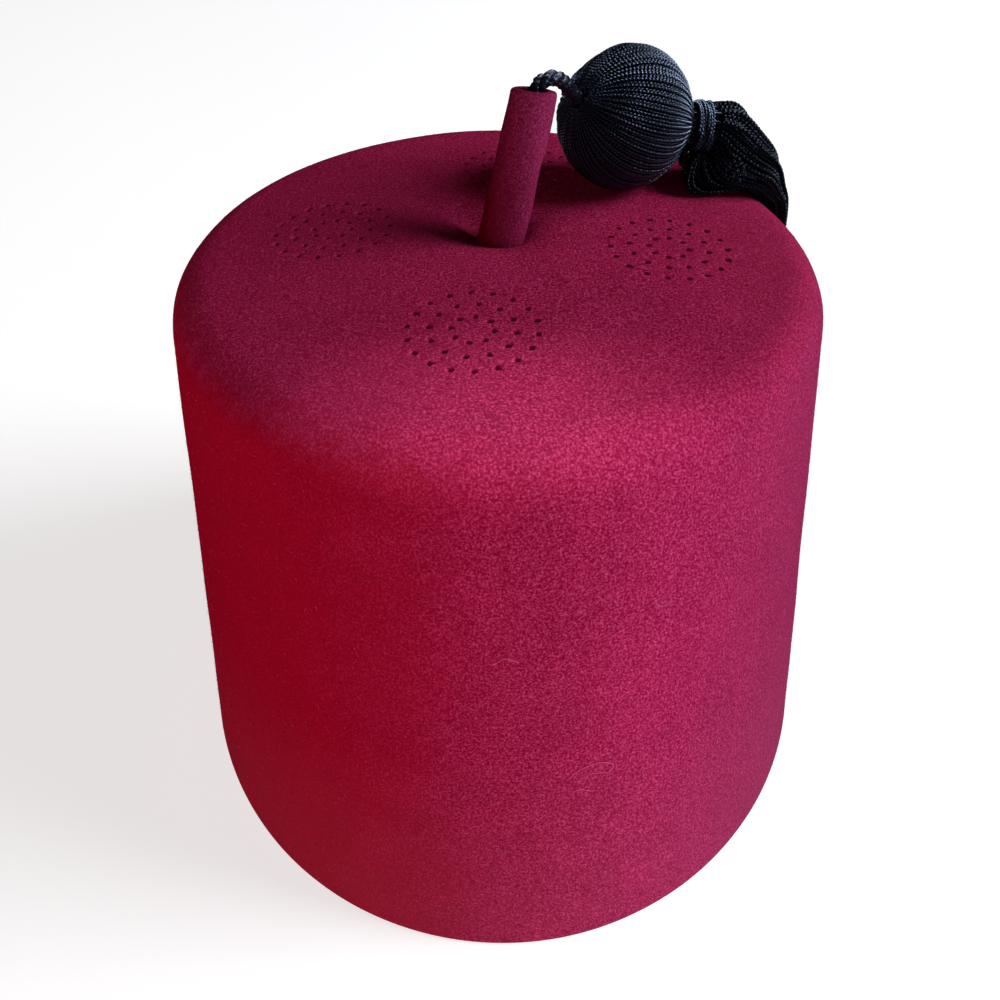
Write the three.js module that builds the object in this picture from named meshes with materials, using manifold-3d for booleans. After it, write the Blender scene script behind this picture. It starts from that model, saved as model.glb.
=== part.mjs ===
// Felt cap of the fez kind: a blocked felt crown pierced with rosettes of vents, a felt stalk
// in the middle of its top, and a thread tassel that leaves the stalk on a short cord, lies
// on the top and hangs over the shoulder.
// Millimetres, +Z up. The origin is the middle of the rim's opening, on the plane that the
// cap stands on. The front is -Y, and +X is the right as the front is looked at.
import * as THREE from "three";
import { mergeVertices } from "three/addons/utils/BufferGeometryUtils.js";
import Module from "manifold-3d";

// Driving dimensions
const FELT = 2.5;
const GAP = 0.3;
const RIM = { halfWidth: 88, halfLength: 102 };
const CROWN = { radius: 77.5, oval: 1.01, height: 140.8, domeRadius: 575, shoulder: 11 };
const DENT = { depth: 3.5, reach: 11 };
const STALK = { foot: [-0.4, 2.5, 133.8], bow: [5, 2.5, 155], top: [8.5, 4.2, 173.3], bore: 2.6 };
const VENT = { clusters: 4, circle: 40.3, turn: -7.9, radius: 0.6 };
const CORD = { radius: 1.6, groove: 0.82, strands: 3, twist: 24 };
const HEAD = { x: 31.7, y: 28.3, radius: 17.6, halfLength: 16.6 };
const NECK = { radius: 6.3, length: 5.4, wraps: 4, groove: 0.7 };
const FRINGE = { locks: 11, flute: 0.16, drawnBack: 7, uneven: 3.5, squareness: 2.6 };

// Facets
const CROWN_SIDES = 48;
const STALK_SIDES = 20;
const HEAD_SIDES = 20;
const HEAD_BANDS = 12;
const NECK_SIDES = 16;
const NECK_CREST = [0.3, 0.7];
const SIDE_STEPS = 3;
const SHOULDER_STEPS = 4;
const CORD_STEPS = 22;
const STEPS_PER_ROW = 2;
const VENT_SIDES = 6;
const CUTTER_LENGTH = 8 * FELT;

// Rings of vents in one cluster, from the middle out
const VENT_RINGS = [
  { radius: 4.6, holes: 8 },
  { radius: 9.3, holes: 12 },
  { radius: 13.9, holes: 18 },
];

// Rows of the top's surface between the shoulder and the stalk, and how much of the shift
// towards the stalk's foot each one takes
const TOP_ROWS = [
  { radius: 55.5, shift: 0 },
  { radius: 25.5, shift: 0.3 },
  { radius: 18, shift: 0.7 },
  { radius: 12, shift: 1 },
  { radius: 8.5, shift: 1 },
];

// Radius of the stalk along its height, from 0 at the foot to 1 at the cut end
const STALK_ROWS = [
  { share: 0, radius: 5.4 },
  { share: 0.35, radius: 5.5 },
  { share: 0.7, radius: 5.3 },
  { share: 0.97, radius: 5.2 },
  { share: 1, radius: 5 },
];

// Middle line of the tassel's cord, from inside the stalk's bore to the head
const CORD_ROUTE = [
  { x: 5.4, y: 3.1, z: 158 },
  { x: 7.4, y: 3.7, z: 167.8 },
  { x: 8.5, y: 4.3, z: 172.5 },
  { x: 10.1, y: 5, z: 174.6 },
  { x: 12.8, y: 6.8, z: 174.9 },
  { x: 15.5, y: 10.6, z: 173 },
  { x: 17.1, y: 15.1, z: 170 },
];

// Sections of the fringe, from the binding to the lowest ends: the middle of the section, the
// way that it faces in degrees from +X and above level, and its half width and half depth
const FRINGE_ROWS = [
  { x: 54.7, y: 31.6, z: 152.7, facing: 9, rise: 79, halfWidth: 6.4, halfDepth: 6.4 },
  { x: 56.9, y: 32, z: 149.8, facing: 12, rise: 60, halfWidth: 8.4, halfDepth: 9.4 },
  { x: 60.9, y: 32.6, z: 145.8, facing: 17, rise: 53, halfWidth: 10.2, halfDepth: 8.9 },
  { x: 65.5, y: 34.2, z: 142.3, facing: 22, rise: 43, halfWidth: 11.2, halfDepth: 6.6 },
  { x: 68.3, y: 36.4, z: 137.4, facing: 25, rise: 33, halfWidth: 11.5, halfDepth: 4.3 },
  { x: 70.8, y: 38.8, z: 130.5, facing: 27, rise: 13, halfWidth: 11.6, halfDepth: 3.1 },
  { x: 71.9, y: 41.2, z: 112, facing: 28, rise: 5, halfWidth: 11.8, halfDepth: 2.9 },
  { x: 73.1, y: 43.2, z: 95, facing: 28, rise: 5, halfWidth: 12, halfDepth: 3 },
  { x: 74.2, y: 45.2, z: 78, facing: 28, rise: 5, halfWidth: 12.2, halfDepth: 3.1 },
  { x: 75.3, y: 47.3, z: 62, facing: 28, rise: 5, halfWidth: 12.4, halfDepth: 3.2 },
];

// Ways in which the cord meets the tassel's head and the binding leaves it
const HEAD_ENTRY = new THREE.Vector3(-0.74, -0.46, 0.48).normalize();
const HEAD_EXIT = new THREE.Vector3(0.97, 0.14, -0.18).normalize();

const FULL_TURN = 2 * Math.PI;
const QUARTER_TURN = Math.PI / 2;
const LATHE_AXIS = new THREE.Vector3(0, 1, 0);
const { degToRad, lerp } = THREE.MathUtils;
const vector = (row) => new THREE.Vector3(row.x, row.y, row.z);

const wasm = await Module();
wasm.setup();

// Shared shapes

// Skin over rings of equal length, which closes on itself or is capped at both ends.
function loft(rings, endless) {
  const sides = rings[0].length;
  const points = rings.flat();
  const faces = [];
  const bands = endless ? rings.length : rings.length - 1;
  for (let row = 0; row < bands; row += 1) {
    const here = row * sides;
    const next = ((row + 1) % rings.length) * sides;
    for (let side = 0; side < sides; side += 1) {
      const after = (side + 1) % sides;
      faces.push(here + side, here + after, next + after);
      faces.push(here + side, next + after, next + side);
    }
  }
  if (!endless) {
    const last = (rings.length - 1) * sides;
    const start = points.push(middleOf(rings[0])) - 1;
    const end = points.push(middleOf(rings.at(-1))) - 1;
    for (let side = 0; side < sides; side += 1) {
      const after = (side + 1) % sides;
      faces.push(start, after, side);
      faces.push(end, last + side, last + after);
    }
  }
  const geometry = new THREE.BufferGeometry().setFromPoints(points);
  geometry.setIndex(faces);
  return geometry;
}

function middleOf(ring) {
  const sum = new THREE.Vector3();
  ring.forEach((point) => sum.add(point));
  return sum.divideScalar(ring.length);
}

// Ring of points square to a curve, where radiusAt gives the radius for a point's number.
function ringRound(centre, across, along, sides, radiusAt, turn = 0) {
  const ring = [];
  for (let side = 0; side < sides; side += 1) {
    const angle = turn + (FULL_TURN * side) / sides;
    const point = centre.clone();
    point.addScaledVector(across, radiusAt(side) * Math.cos(angle));
    point.addScaledVector(along, radiusAt(side) * Math.sin(angle));
    ring.push(point);
  }
  return ring;
}

function toSolid(geometry) {
  geometry.deleteAttribute("normal");
  geometry.deleteAttribute("uv");
  const merged = mergeVertices(geometry);
  const vertProperties = new Float32Array(merged.attributes.position.array);
  const triVerts = new Uint32Array(merged.index.array);
  return new wasm.Manifold(new wasm.Mesh({ numProp: 3, vertProperties, triVerts }));
}

function toGeometry(solid) {
  const mesh = solid.getMesh();
  const geometry = new THREE.BufferGeometry();
  geometry.setAttribute("position", new THREE.Float32BufferAttribute(mesh.vertProperties, 3));
  geometry.setIndex(new THREE.Uint32BufferAttribute(mesh.triVerts, 1));
  return geometry;
}

// Stalk: a felt tube on a bowed axis, cut square at its open end

const stalkAxis = new THREE.QuadraticBezierCurve3(
  new THREE.Vector3(...STALK.foot),
  new THREE.Vector3(...STALK.bow),
  new THREE.Vector3(...STALK.top),
);

function stalkRing(share, radius) {
  const forward = stalkAxis.getTangent(share);
  const across = LATHE_AXIS.clone().cross(forward).normalize();
  const along = forward.clone().cross(across);
  return ringRound(stalkAxis.getPoint(share), across, along, STALK_SIDES, () => radius);
}

function stalkGeometry() {
  const outside = STALK_ROWS.map((row) => stalkRing(row.share, row.radius));
  const bore = STALK_ROWS.map((row) => stalkRing(row.share, STALK.bore)).reverse();
  return loft([...outside, ...bore], true);
}

// Crown: side, shoulder and top of one felt, with a hole that the stalk stands in

const footLean = Math.atan2(STALK.bow[0] - STALK.foot[0], STALK.bow[2] - STALK.foot[2]);
const holeRadius = STALK_ROWS[1].radius / Math.cos(footLean) + GAP;
const holeY = STALK.foot[1];

function dentAt(distance) {
  return DENT.depth * Math.exp(-((distance / DENT.reach) ** 2));
}

// Where the leaning stalk's axis passes through a row of the dented top.
function holeX(height) {
  const rise = height - dentAt(holeRadius) - STALK.foot[2];
  return STALK.foot[0] + rise * Math.tan(footLean);
}

function domeHeight(radius, inset = 0) {
  const round = CROWN.domeRadius - inset;
  return CROWN.height - CROWN.domeRadius + Math.sqrt(round * round - radius * radius);
}

// Radii and heights from the rim to the hole on the outer face, or on a face set in from it.
function crownRows(inset) {
  const shoulderMiddle = CROWN.radius - CROWN.shoulder;
  const centreGap = CROWN.domeRadius - CROWN.shoulder;
  const domeTurn = Math.asin(shoulderMiddle / centreGap);
  const shoulderHeight = CROWN.height - CROWN.domeRadius + centreGap * Math.cos(domeTurn);
  const lean = Math.atan2(RIM.halfWidth - CROWN.radius, shoulderHeight);
  const bend = CROWN.shoulder - inset;
  const foot = RIM.halfWidth - inset / Math.cos(lean);
  const rows = [];
  for (let step = 0; step < SIDE_STEPS; step += 1) {
    const share = step / SIDE_STEPS;
    const radius = lerp(foot, shoulderMiddle + bend * Math.cos(lean), share);
    rows.push({ radius, height: lerp(0, shoulderHeight + bend * Math.sin(lean), share), shift: 0 });
  }
  for (let step = 0; step <= SHOULDER_STEPS; step += 1) {
    const turn = lerp(lean, QUARTER_TURN - domeTurn, step / SHOULDER_STEPS);
    const radius = shoulderMiddle + bend * Math.cos(turn);
    rows.push({ radius, height: shoulderHeight + bend * Math.sin(turn), shift: 0 });
  }
  for (const { radius, shift } of [...TOP_ROWS, { radius: holeRadius, shift: 1 }]) {
    rows.push({ radius, height: domeHeight(radius, inset), shift });
  }
  return rows;
}

// One level ring of the crown, oval at the rim and nearly round at the top, sunk by the dent.
function crownRing({ radius, height, shift }) {
  const oval = lerp(RIM.halfLength / RIM.halfWidth, CROWN.oval, height / CROWN.height);
  const middleX = holeX(height);
  const ring = [];
  for (let side = 0; side < CROWN_SIDES; side += 1) {
    const angle = (FULL_TURN * side) / CROWN_SIDES;
    const x = shift * middleX + radius * Math.cos(angle);
    const y = shift * holeY + radius * oval * Math.sin(angle);
    const dent = dentAt(Math.hypot(x - middleX, y - holeY));
    ring.push(new THREE.Vector3(x, y, height - dent));
  }
  return ring;
}

// Six-sided cutters of all the vents, in clusters a quarter turn apart.
function ventCutters() {
  const cutters = [];
  for (let cluster = 0; cluster < VENT.clusters; cluster += 1) {
    const turn = degToRad(VENT.turn) + (FULL_TURN * cluster) / VENT.clusters;
    const centre = new THREE.Vector2(VENT.circle, 0).rotateAround(new THREE.Vector2(), turn);
    for (const { radius, holes } of VENT_RINGS) {
      for (let hole = 0; hole < holes; hole += 1) {
        const angle = turn + QUARTER_TURN + (FULL_TURN * hole) / holes;
        const cutter = new THREE.CylinderGeometry(VENT.radius, VENT.radius, CUTTER_LENGTH, VENT_SIDES);
        cutter.rotateX(QUARTER_TURN);
        cutter.translate(
          centre.x + radius * Math.cos(angle),
          centre.y + radius * Math.sin(angle),
          CROWN.height - FELT,
        );
        cutters.push(toSolid(cutter));
      }
    }
  }
  return cutters;
}

function crownGeometry() {
  const outside = crownRows(0).map(crownRing);
  const inside = crownRows(FELT).map(crownRing).reverse();
  let solid = toSolid(loft([...outside, ...inside], true));
  for (const cutter of ventCutters()) {
    solid = solid.subtract(cutter);
  }
  return toGeometry(solid);
}

// Tassel head: a ball a little shorter along the tassel than it is wide, lying on the top

const headAxis = HEAD_EXIT.clone().sub(HEAD_ENTRY).normalize();
const headDrop = Math.hypot(
  HEAD.radius * Math.hypot(headAxis.x, headAxis.y),
  HEAD.halfLength * headAxis.z,
);
const headMiddle = new THREE.Vector3(
  HEAD.x,
  HEAD.y,
  domeHeight(Math.hypot(HEAD.x, HEAD.y)) + GAP + headDrop,
);

function headGeometry() {
  const ball = new THREE.SphereGeometry(1, HEAD_SIDES, HEAD_BANDS);
  ball.scale(HEAD.radius, HEAD.halfLength, HEAD.radius);
  ball.applyQuaternion(new THREE.Quaternion().setFromUnitVectors(LATHE_AXIS, headAxis));
  ball.translate(...headMiddle.toArray());
  return ball;
}

// Distance from the head's middle to its surface along a way out.
function headReach(way) {
  const along = way.dot(headAxis);
  const across = Math.sqrt(1 - along * along);
  return 1 / Math.hypot(along / HEAD.halfLength, across / HEAD.radius);
}

// Tassel cord: three strands twisted together, out of the bore and into the head

function cordGeometry() {
  const end = headMiddle.clone().addScaledVector(HEAD_ENTRY, headReach(HEAD_ENTRY) + CORD.radius);
  const route = new THREE.CatmullRomCurve3([...CORD_ROUTE.map(vector), end]);
  const frames = route.computeFrenetFrames(CORD_STEPS, false);
  const pointsPerStrand = 4;
  const sides = CORD.strands * pointsPerStrand;
  const radiusAt = (side) => (side % pointsPerStrand === 0 ? CORD.groove : 1) * CORD.radius;
  const rings = [];
  for (let step = 0; step <= CORD_STEPS; step += 1) {
    const centre = route.getPointAt(step / CORD_STEPS);
    const turn = degToRad(CORD.twist) * step;
    rings.push(ringRound(centre, frames.normals[step], frames.binormals[step], sides, radiusAt, turn));
  }
  return loft(rings, false);
}

// Tassel neck: turns of thread wound round the tassel below its head

function neckGeometry() {
  const pitch = NECK.length / NECK.wraps;
  const profile = [new THREE.Vector2(0, 0)];
  for (let wrap = 0; wrap < NECK.wraps; wrap += 1) {
    profile.push(new THREE.Vector2(NECK.radius - NECK.groove, wrap * pitch));
    for (const share of NECK_CREST) {
      profile.push(new THREE.Vector2(NECK.radius, (wrap + share) * pitch));
    }
  }
  profile.push(new THREE.Vector2(NECK.radius - NECK.groove, NECK.length));
  profile.push(new THREE.Vector2(0, NECK.length));
  const neck = new THREE.LatheGeometry(profile, NECK_SIDES);
  neck.applyQuaternion(new THREE.Quaternion().setFromUnitVectors(LATHE_AXIS, HEAD_EXIT));
  const start = headMiddle.clone().addScaledVector(HEAD_EXIT, headReach(HEAD_EXIT) + 2 * GAP);
  neck.translate(...start.toArray());
  return neck;
}

// Tassel fringe: locks fused side by side round one core, uneven at their lower ends

// Way, tilt and size of a section between two of the listed ones.
function fringeSection(share) {
  const place = share * (FRINGE_ROWS.length - 1);
  const row = Math.min(Math.floor(place), FRINGE_ROWS.length - 2);
  const between = (key) => lerp(FRINGE_ROWS[row][key], FRINGE_ROWS[row + 1][key], place - row);
  const facing = degToRad(between("facing"));
  const rise = degToRad(between("rise"));
  const across = new THREE.Vector3(-Math.sin(facing), Math.cos(facing), 0);
  const outward = new THREE.Vector3(Math.cos(facing), Math.sin(facing), Math.tan(rise)).normalize();
  return { across, outward, halfWidth: between("halfWidth"), halfDepth: between("halfDepth") };
}

function fringeGeometry() {
  const middles = new THREE.CatmullRomCurve3(FRINGE_ROWS.map(vector));
  const pointsPerLock = 3;
  const sides = FRINGE.locks * pointsPerLock;
  const steps = STEPS_PER_ROW * (FRINGE_ROWS.length - 1);
  const rings = [];
  for (let step = 0; step <= steps; step += 1) {
    const share = step / steps;
    const { across, outward, halfWidth, halfDepth } = fringeSection(share);
    const ring = [];
    for (let side = 0; side < sides; side += 1) {
      const angle = (FULL_TURN * side) / sides;
      const betweenLocks = side % pointsPerLock === 0;
      const fullness = betweenLocks ? 1 - FRINGE.flute : 1;
      const point = middles.getPoint(share);
      point.addScaledVector(across, fullness * halfWidth * squared(Math.cos(angle)));
      point.addScaledVector(outward, fullness * halfDepth * squared(Math.sin(angle)));
      if (step === steps) {
        const lock = Math.floor(side / pointsPerLock);
        const slip = betweenLocks ? -FRINGE.drawnBack : FRINGE.uneven * Math.sin(lock * lock);
        point.addScaledVector(middles.getTangent(share), slip);
      }
      ring.push(point);
    }
    rings.push(ring);
  }
  return loft(rings, false);
}

// Rounds a section out towards a rectangle with soft corners.
function squared(value) {
  return Math.sign(value) * Math.abs(value) ** (2 / FRINGE.squareness);
}

// Assembly
const felt = { color: 0x8c1032, roughness: 0.95, metalness: 0 };
const thread = { color: 0x14161f, roughness: 0.45, metalness: 0 };

const cap = new THREE.Group();
const pieces = [
  { name: "crown", geometry: crownGeometry(), finish: felt },
  { name: "stalk", geometry: stalkGeometry(), finish: felt },
  { name: "tassel_cord", geometry: cordGeometry(), finish: thread },
  { name: "tassel_head", geometry: headGeometry(), finish: thread },
  { name: "tassel_neck", geometry: neckGeometry(), finish: thread },
  { name: "tassel_fringe", geometry: fringeGeometry(), finish: thread },
];
for (const { name, geometry, finish } of pieces) {
  const mesh = new THREE.Mesh(geometry, new THREE.MeshStandardMaterial(finish));
  mesh.name = name;
  cap.add(mesh);
}

export default cap;
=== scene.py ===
# %% [markdown]
# # A felt prayer cap of the fez kind
# The real cap is one blocked felt crown, pierced with rosettes of vent holes, with a felt stalk
# in the middle of its top and a tassel of twisted rayon thread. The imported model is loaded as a
# fixed frame, and every piece below is made in that frame, in metres, with +Z up and the front
# at -Y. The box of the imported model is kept, so that the finished looks can be held against it.

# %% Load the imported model
import math

import bpy
import numpy as np
from mathutils import Matrix, Vector


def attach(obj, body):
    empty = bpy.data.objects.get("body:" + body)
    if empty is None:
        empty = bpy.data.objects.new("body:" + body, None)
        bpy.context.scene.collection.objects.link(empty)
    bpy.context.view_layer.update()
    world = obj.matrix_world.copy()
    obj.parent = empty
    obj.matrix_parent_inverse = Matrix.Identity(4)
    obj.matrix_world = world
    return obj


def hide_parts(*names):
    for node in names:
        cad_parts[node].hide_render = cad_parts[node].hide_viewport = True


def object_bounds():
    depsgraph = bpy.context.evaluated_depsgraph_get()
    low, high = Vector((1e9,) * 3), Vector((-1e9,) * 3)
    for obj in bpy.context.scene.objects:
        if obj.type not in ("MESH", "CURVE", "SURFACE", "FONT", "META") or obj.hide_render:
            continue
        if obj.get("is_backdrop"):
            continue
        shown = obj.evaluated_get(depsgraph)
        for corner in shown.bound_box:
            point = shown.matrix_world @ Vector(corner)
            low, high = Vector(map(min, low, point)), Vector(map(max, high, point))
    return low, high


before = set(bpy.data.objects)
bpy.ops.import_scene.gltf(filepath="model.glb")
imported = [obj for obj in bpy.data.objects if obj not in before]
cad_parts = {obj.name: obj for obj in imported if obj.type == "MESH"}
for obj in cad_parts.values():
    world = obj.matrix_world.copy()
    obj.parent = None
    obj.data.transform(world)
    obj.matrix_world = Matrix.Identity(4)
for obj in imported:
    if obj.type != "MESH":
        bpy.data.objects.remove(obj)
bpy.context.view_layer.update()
MM = 0.001
FULL_TURN = 2 * math.pi


def in_mm(corners):
    return [[round(value / MM, 1) for value in corner] for corner in corners]


# %% [markdown]
# ## Camera
# The photograph looks down on the cap from in front, from about 0.3 m, and the crown shows
# strong perspective: its top looks wider than its rim. A camera can be placed by eye, but here
# its height, distance and roll are named values, found by fitting the crown's outline.

# %% Camera at the photograph's angle
CAMERA = {"elevation": 39.56, "distance": 0.30058, "target": 0.0704, "roll": -0.69}
SENSOR = 36.0
LENS = 38.88
SHIFT_Y = -0.0382


def make_camera():
    lens = bpy.data.cameras.new("camera")
    lens.sensor_width = SENSOR
    lens.lens = LENS
    lens.shift_y = SHIFT_Y
    lens.clip_start = 0.01
    camera = bpy.data.objects.new("camera", lens)
    bpy.context.collection.objects.link(camera)
    aim = Matrix.Translation((0, 0, CAMERA["target"]))
    tilt = Matrix.Rotation(math.radians(90 - CAMERA["elevation"]), 4, "X")
    roll = Matrix.Rotation(math.radians(CAMERA["roll"]), 4, "Z")
    back = Matrix.Translation((0, 0, CAMERA["distance"]))
    camera.matrix_world = aim @ tilt @ roll @ back
    bpy.context.scene.camera = camera
    return camera


camera = make_camera()
print("camera stands at", in_mm([camera.matrix_world.translation]), "mm")

# %% [markdown]
# ## Meshes
# Meshes come from arrays of points and faces. A skin over a row of equal rings is the form that
# comes up most. Every piece is placed at the origin, unturned, with its points where they belong.

# %% Helpers for meshes
def mesh_of(name, points, faces=(), edges=()):
    mesh = bpy.data.meshes.new(name)
    mesh.from_pydata([tuple(p) for p in points], [tuple(e) for e in edges], [tuple(f) for f in faces])
    mesh.update()
    return mesh


def place(name, mesh, material=None):
    piece = bpy.data.objects.new(name, mesh)
    bpy.context.collection.objects.link(piece)
    if material:
        mesh.materials.append(material)
    return piece


def loft(name, rings):
    """A smooth skin over equal rings, with a cap at each end."""
    sides = len(rings[0])
    points = np.concatenate(rings)
    faces = []
    for here in range(0, len(points) - sides, sides):
        there = here + sides
        for side in range(sides):
            after = (side + 1) % sides
            faces.append((here + side, here + after, there + after, there + side))
    faces.append(tuple(reversed(range(sides))))
    faces.append(tuple(range(len(points) - sides, len(points))))
    mesh = mesh_of(name, points, faces)
    mesh.shade_smooth()
    return mesh


def unit(vector):
    vector = np.asarray(vector, float)
    return vector / np.linalg.norm(vector)


def around(turn, side, up):
    return math.cos(turn) * side + math.sin(turn) * up


def triangles(piece):
    return sum(len(face.vertices) - 2 for face in piece.data.polygons)


def report(*pieces):
    for piece in pieces:
        print(piece.name, "has", triangles(piece), "triangles")


print("meshes can be made")

# %% [markdown]
# ## Node trees
# Shader trees and geometry trees are built in script. A long list of nodes and links is hard to
# read, so an output socket is wrapped as a field, which can be added and multiplied like a
# number: each sign adds one Math node, and the node links itself to the fields that it is given.

# %% Fields
class Field:
    """An output socket that can stand in a sum."""

    def __init__(self, socket):
        self.socket = socket

    def __add__(self, other):
        return calc("ADD", self, other)

    def __sub__(self, other):
        return calc("SUBTRACT", self, other)

    def __rsub__(self, other):
        return calc("SUBTRACT", other, self)

    def __mul__(self, other):
        return calc("MULTIPLY", self, other)

    def __truediv__(self, other):
        return calc("DIVIDE", self, other)

    def __rtruediv__(self, other):
        return calc("DIVIDE", other, self)

    def __pow__(self, other):
        return calc("POWER", self, other)


def tree_of(*values):
    return next(value.socket.id_data for value in values if isinstance(value, Field))


def give(socket, value):
    """Links an input socket to a field, or sets it to anything else."""
    if isinstance(value, Field):
        socket.id_data.links.new(value.socket, socket)
    else:
        socket.default_value = value


def add(tree, kind, inputs=None, **settings):
    node = tree.nodes.new(kind)
    for label, value in settings.items():
        setattr(node, label, value)
    for label, value in (inputs or {}).items():
        give(node.inputs[label], value)
    return node


def field(tree, kind, inputs=None, output=0, **settings):
    return Field(add(tree, kind, inputs, **settings).outputs[output])


print("fields can be added and multiplied")

# %% Nodes that both kinds of tree use
def calc(operation, *values):
    return field(tree_of(*values), "ShaderNodeMath", dict(enumerate(values)), operation=operation)


def calc_vector(operation, *values):
    output = "Value" if operation in ("LENGTH", "DOT_PRODUCT") else "Vector"
    sockets = dict(enumerate(values))
    return field(tree_of(*values), "ShaderNodeVectorMath", sockets, output, operation=operation)


def scaled(vector, factor):
    sockets = {0: vector, "Scale": factor}
    return field(tree_of(vector), "ShaderNodeVectorMath", sockets, operation="SCALE")


def split(vector):
    node = add(tree_of(vector), "ShaderNodeSeparateXYZ", {0: vector})
    return [Field(socket) for socket in node.outputs]


def joined(tree, **parts):
    return field(tree, "ShaderNodeCombineXYZ", parts)


def ramp(value, low, high, to_low=0.0, to_high=1.0, kind="LINEAR"):
    sockets = {"Value": value, "From Min": low, "From Max": high, "To Min": to_low, "To Max": to_high}
    return field(tree_of(value), "ShaderNodeMapRange", sockets, "Result", interpolation_type=kind)


def blend(share, low, high):
    return field(tree_of(share), "ShaderNodeMix", {0: share, 6: low, 7: high}, 2, data_type="RGBA")


def noise(where, scale, detail, roughness=0.5, bend=0.0):
    sockets = {"Vector": where, "Scale": scale, "Detail": detail, "Roughness": roughness, "Distortion": bend}
    return field(tree_of(where), "ShaderNodeTexNoise", sockets, "Fac")


def socket_kind(value):
    if isinstance(value, str):
        return value
    if isinstance(value, (int, float)):
        return "Int" if isinstance(value, int) else "Float"
    return "Vector" if len(value) == 3 else "Color"


def new_tree(name, kind, inputs, outputs):
    """A node tree whose sockets are named, each with its first value or, in words, its kind."""
    tree = bpy.data.node_groups.new(name, kind)
    for way, sockets in (("INPUT", inputs), ("OUTPUT", outputs)):
        for label, value in sockets.items():
            socket_type = "NodeSocket" + socket_kind(value)
            socket = tree.interface.new_socket(label, in_out=way, socket_type=socket_type)
            if not isinstance(value, str):
                socket.default_value = value
    source = tree.nodes.new("NodeGroupInput")
    sink = tree.nodes.new("NodeGroupOutput")

    def given(label):
        return Field(source.outputs[label])

    return tree, given, sink.inputs


print("node trees can be made")

# %% [markdown]
# ## Felt
# Wool felt is a mat of fine fibres: no weave, a dull surface, and a fine speckle where pale
# fibre ends stand among deep red ones. Light and shade are painted into its colour as well: where
# light is painted it is paler and bluer, with a painted sheen and a stronger grain, and where shade
# is painted it is smooth and deep red. An image would fix the grain at one scale, so it is made of
# noise instead. Crown and stalk share it, so it is a node group, and each material gives it its
# own colours and says how strongly the grain shows where light is painted.

# %% Felt grain, shared by all the felt
FELT_COLOURS = ("Deep Colour", "Body Colour", "Pale Colour")


def make_felt_grain():
    tree, given, result = new_tree(
        "felt_grain",
        "ShaderNodeTree",
        {
            "Vector": "Vector",
            "Speckle Size": 0.00052,
            "Fibre Size": 0.0011,
            "Mottle Size": 0.013,
            "Mottle": 0.07,
            "Lit": 1.0,
            "Deep Colour": (0.1, 0.0, 0.02, 1),
            "Body Colour": (0.2, 0.0, 0.02, 1),
            "Pale Colour": (0.5, 0.06, 0.16, 1),
        },
        {"Colour": "Color", "Height": "Float"},
    )
    where = given("Vector")
    # How strongly the grain shows is an input, high where light is painted and low where shade is.
    lit = given("Lit")
    deep, body, pale = (given(label) for label in FELT_COLOURS)
    speckle = noise(where, 1.0 / given("Speckle Size"), 3.0, roughness=0.75)
    fibre = noise(where, 1.0 / given("Fibre Size"), 1.0, bend=0.8)
    line = ramp(calc("ABSOLUTE", fibre - 0.5), 0.05, 0.005, kind="SMOOTHSTEP")
    hairs = line * ramp(speckle, 0.5, 0.62, 0.0, 0.22)
    colour = blend(ramp(speckle, 0.34, 0.50), deep, body)
    colour = blend(ramp(speckle, 0.50, 0.71), colour, pale)
    colour = blend(hairs, colour, pale)
    colour = blend(lit, body, colour)
    mottle = ramp(noise(where, 1.0 / given("Mottle Size"), 4.0), 0.3, 0.7, -1.0, 1.0) * given("Mottle")
    give(result["Colour"], scaled(colour, mottle * lit + 1.0))
    give(result["Height"], speckle * 0.8 + hairs * 0.4)
    return tree


FELT_GRAIN = make_felt_grain()
print("felt grain has", len(FELT_GRAIN.nodes), "nodes")

# %% Felt material
# A pale pink that the felt materials mix in as a painted sheen.
PALE_SHEEN = (0.5, 0.14, 0.22, 1)
GRAIN_DEPTH = 0.00035


def new_material(name):
    material = bpy.data.materials.new(name)
    material.use_nodes = True
    return material, material.node_tree, material.node_tree.nodes["Principled BSDF"]


def set_shader(shader, **values):
    for label, value in values.items():
        give(shader.inputs[label.replace("_", " ")], value)


def relief(height, strength, distance):
    sockets = {"Height": height, "Strength": strength, "Distance": distance}
    return field(tree_of(height), "ShaderNodeBump", sockets)


def make_felt(name, flat, lit, lit_side, lit_grain, lift, pale_sheen, bump):
    """Felt between two sets of colours: one where shade is painted, one where light and sheen are."""
    material, tree, shader = new_material(name)
    where = field(tree, "ShaderNodeTexCoord", output="Object")
    sockets = {"Vector": where, "Lit": lit_grain(where)}
    share = lit_side(where)
    for label, low, high in zip(FELT_COLOURS, flat, lit):
        sockets[label] = blend(share, (*low, 1), (*high, 1))
    grain = add(tree, "ShaderNodeGroup", sockets, node_tree=FELT_GRAIN)
    colour, height = (Field(socket) for socket in grain.outputs)
    # Painted light and shade scale the colour, and a painted sheen mixes pale pink in.
    colour = blend(pale_sheen(where), scaled(colour, lift(where)), PALE_SHEEN)
    normal = relief(height, bump, GRAIN_DEPTH)
    set_shader(shader, Base_Color=colour, Normal=normal, Roughness=0.95, Specular_IOR_Level=0.0)
    return material


print("felt can be made in any colours")

# %% Where light, shade and sheen are painted on the crown
TOP_EDGE = (0.1265, 0.1375)
# A painted highlight lies at the front of the shoulder, with this middle and reach.
HIGHLIGHT_MIDDLE = (0.0, -0.066, 0.139)
HIGHLIGHT_REACH = (0.062, 0.034, 0.019)
# Crown colours where shade is painted, then where light and a bluish sheen are painted.
SHADED_FELT = ((0.17, 0.0004, 0.0075), (0.235, 0.0012, 0.0125), (0.36, 0.009, 0.033))
LIT_FELT = ((0.14, 0.0020, 0.028), (0.30, 0.0130, 0.082), (0.68, 0.094, 0.26))


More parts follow.
